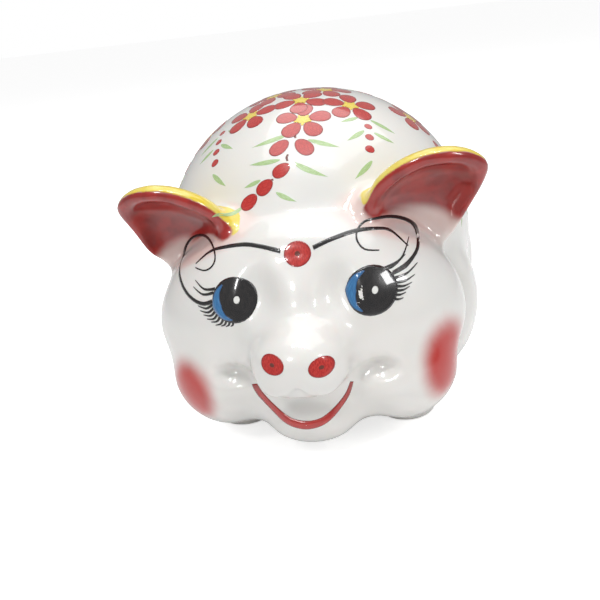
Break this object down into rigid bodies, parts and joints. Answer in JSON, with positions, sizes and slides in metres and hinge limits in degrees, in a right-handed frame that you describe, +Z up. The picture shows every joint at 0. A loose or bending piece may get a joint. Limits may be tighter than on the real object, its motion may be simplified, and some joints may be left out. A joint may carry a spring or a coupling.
{
  "type": "piggy bank",
  "caption": "Round hand-painted glazed ceramic piggy bank with cupped ears, flat feet, a coin slot along the back and a pull-out belly stopper.",
  "frame": {"origin": "on the ground, under the middle of the length from snout tip to tail, on the plane of symmetry", "axes": "+Z up, the pig looks along -Y, +X is the pig's left side"},
  "size_m": [0.1958, 0.248, 0.18],
  "materials": {
    "white_glaze": "warm white, clear glossy glaze",
    "stopper_rubber": "soft satin, moulded",
    "red_enamel": "hand-brushed enamel under a clear glossy glaze",
    "green_enamel": "hand-brushed enamel under a clear glossy glaze",
    "yellow_enamel": "hand-brushed enamel under a clear glossy glaze",
    "brown_enamel": "hand-brushed enamel under a clear glossy glaze",
    "black_enamel": "hand-brushed enamel under a clear glossy glaze",
    "blue_enamel": "hand-brushed enamel under a clear glossy glaze",
    "white_enamel": "hand-brushed enamel under a clear glossy glaze"
  },
  "bodies": {
    "bank": {"body_shell": "white_glaze", "left_ear": "white_glaze", "right_ear": "white_glaze", "tail": "white_glaze", "front_left_foot": "white_glaze", "front_right_foot": "white_glaze", "rear_left_foot": "white_glaze", "rear_right_foot": "white_glaze"},
    "stopper": {"belly_stopper": "stopper_rubber"}
  },
  "joints": [
    {"name": "stopper_pull", "type": "slide", "parent": "bank", "child": "stopper", "axis": [0, 0, -1], "range_m": [0, 0.025]}
  ]
}
